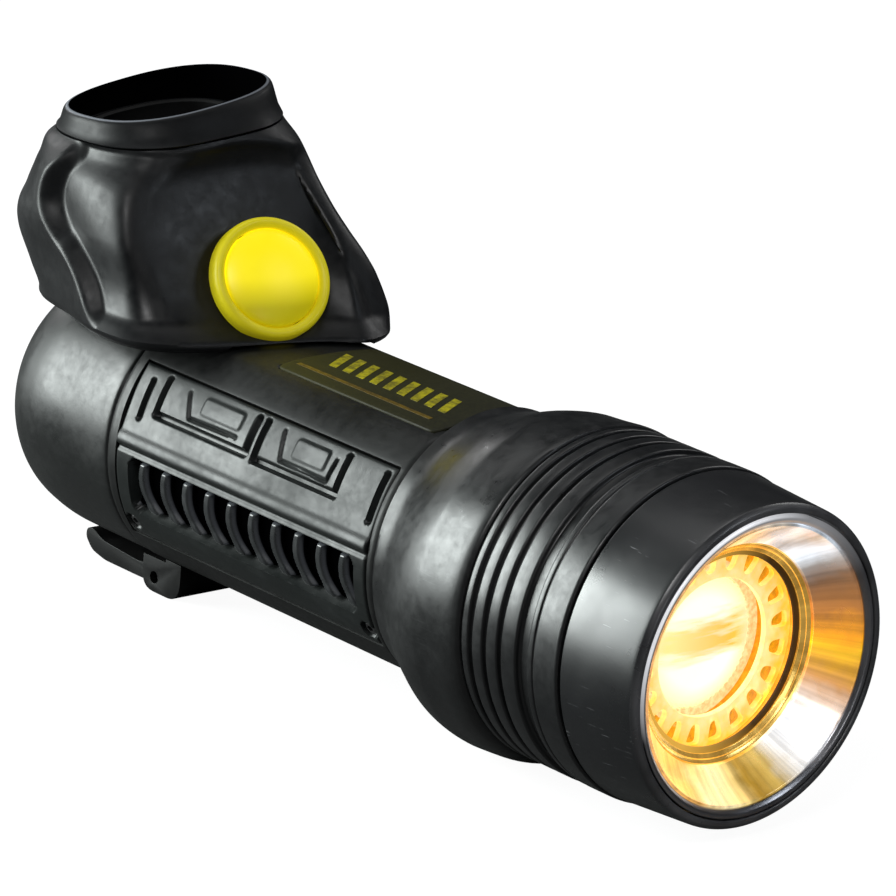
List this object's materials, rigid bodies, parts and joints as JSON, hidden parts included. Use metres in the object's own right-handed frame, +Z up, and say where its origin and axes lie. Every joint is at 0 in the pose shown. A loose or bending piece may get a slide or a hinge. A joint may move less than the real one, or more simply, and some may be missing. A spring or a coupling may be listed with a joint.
{
  "type": "firefighter flashlight",
  "caption": "Stout hand lamp with a grooved focus head, hooded yellow push switch, louvred side panels, turning tail cap and a paddle latch.",
  "frame": {"origin": "centre of the underside of the bounding box", "axes": "+X is the beam direction, +Z is up, +Y is the left side of the lamp"},
  "size_m": [0.212, 0.0714, 0.1087],
  "materials": {
    "anodised_black": "black anodised, satin",
    "polished_cone": "polished",
    "gold_metal": "gold anodised",
    "clear_window": "clear",
    "seal_rubber": "black",
    "inner_plastic": "black",
    "lit_emitter": "emissive, warm white, lit",
    "board": "circuit board",
    "bare_aluminium": "machined",
    "contact_brass": "bright",
    "spring_steel": "plain",
    "housing_black": "black, fine grain",
    "panel_charcoal": "charcoal, light wear",
    "label_olive": "olive black",
    "button_ring_yellow": "yellow",
    "button_yellow": "bright yellow",
    "cell_wrap": "blue wrap; density stands for a whole cell",
    "lead_red": "red",
    "lead_black": "black"
  },
  "bodies": {
    "lamp": {"bezel_shell": "anodised_black", "front_lip_ring": "anodised_black", "head_shell": "anodised_black", "reflector_cone": "polished_cone", "lens_seat_ring": "gold_metal", "led_ring_plate": "gold_metal", "led_module_body": "gold_metal", "front_lens": "clear_window", "lens_gasket": "seal_rubber", "button_seal": "seal_rubber", "socket_liner": "seal_rubber", "head_oring": "seal_rubber", "tail_oring": "seal_rubber", "micro_switch": "inner_plastic", "carrier_front": "inner_plastic", "carrier_rear": "inner_plastic", "led_emitter": "lit_emitter", "led_board": "board", "driver_board": "board", "switch_board": "board", "heat_sink": "bare_aluminium", "front_contact": "contact_brass", "contact_disc": "contact_brass", "carrier_post": "contact_brass", "battery_spring": "spring_steel", "button_spring": "spring_steel", "carrier_rod_1": "spring_steel", "carrier_rod_2": "spring_steel", "carrier_rod_3": "spring_steel", "panel_screw_rear_right": "spring_steel", "panel_screw_front_right": "spring_steel", "panel_screw_rear_left": "spring_steel", "panel_screw_front_left": "spring_steel", "tower_screw_right": "spring_steel", "tower_screw_left": "spring_steel", "latch_pin": "spring_steel", "latch_screw": "spring_steel", "main_housing": "housing_black", "switch_tower": "housing_black", "tower_collar": "housing_black", "latch_bracket": "housing_black", "side_panel_right": "panel_charcoal", "side_panel_left": "panel_charcoal", "louvre_insert_right": "panel_charcoal", "louvre_insert_left": "panel_charcoal", "label_plate": "label_olive", "button_bezel": "button_ring_yellow", "battery_cell_1": "cell_wrap", "battery_cell_2": "cell_wrap", "battery_cell_3": "cell_wrap", "led_lead_positive": "lead_red", "led_lead_negative": "lead_black"},
    "focus": {"focus_ring": "anodised_black"},
    "lens_mount": {"lens_carrier": "inner_plastic", "collimator_lens": "clear_window"},
    "button": {"switch_button": "button_yellow"},
    "tail": {"tail_cap": "housing_black", "tail_contact": "contact_brass", "tail_spring": "spring_steel"},
    "latch": {"latch_lever": "housing_black"}
  },
  "joints": [
    {"name": "focus_turn", "type": "hinge", "parent": "lamp", "child": "focus", "pos_m": [0.07, 0, 0.0356], "axis": [1, 0, 0], "range_deg": [0, 90]},
    {"name": "lens_slide", "type": "slide", "parent": "lamp", "child": "lens_mount", "axis": [1, 0, 0], "range_m": [0, 0.0026]},
    {"name": "button_press", "type": "slide", "parent": "lamp", "child": "button", "axis": [-0.8317, 0.2074, -0.515], "range_m": [0, 0.0015], "stiffness_N_per_m": 1500},
    {"name": "tail_cap_turn", "type": "hinge", "parent": "lamp", "child": "tail", "pos_m": [-0.08, 0, 0.0356], "axis": [1, 0, 0], "range_deg": [0, 60]},
    {"name": "latch_swing", "type": "hinge", "parent": "lamp", "child": "latch", "pos_m": [-0.0654, 0, 0.0032], "axis": [0, -1, 0], "range_deg": [0, 30], "stiffness_Nm_per_rad": 0.05}
  ],
  "couplings": [
    {"joint": "lens_slide", "follows": "focus_turn", "m_per_rad": 0.0015915}
  ]
}
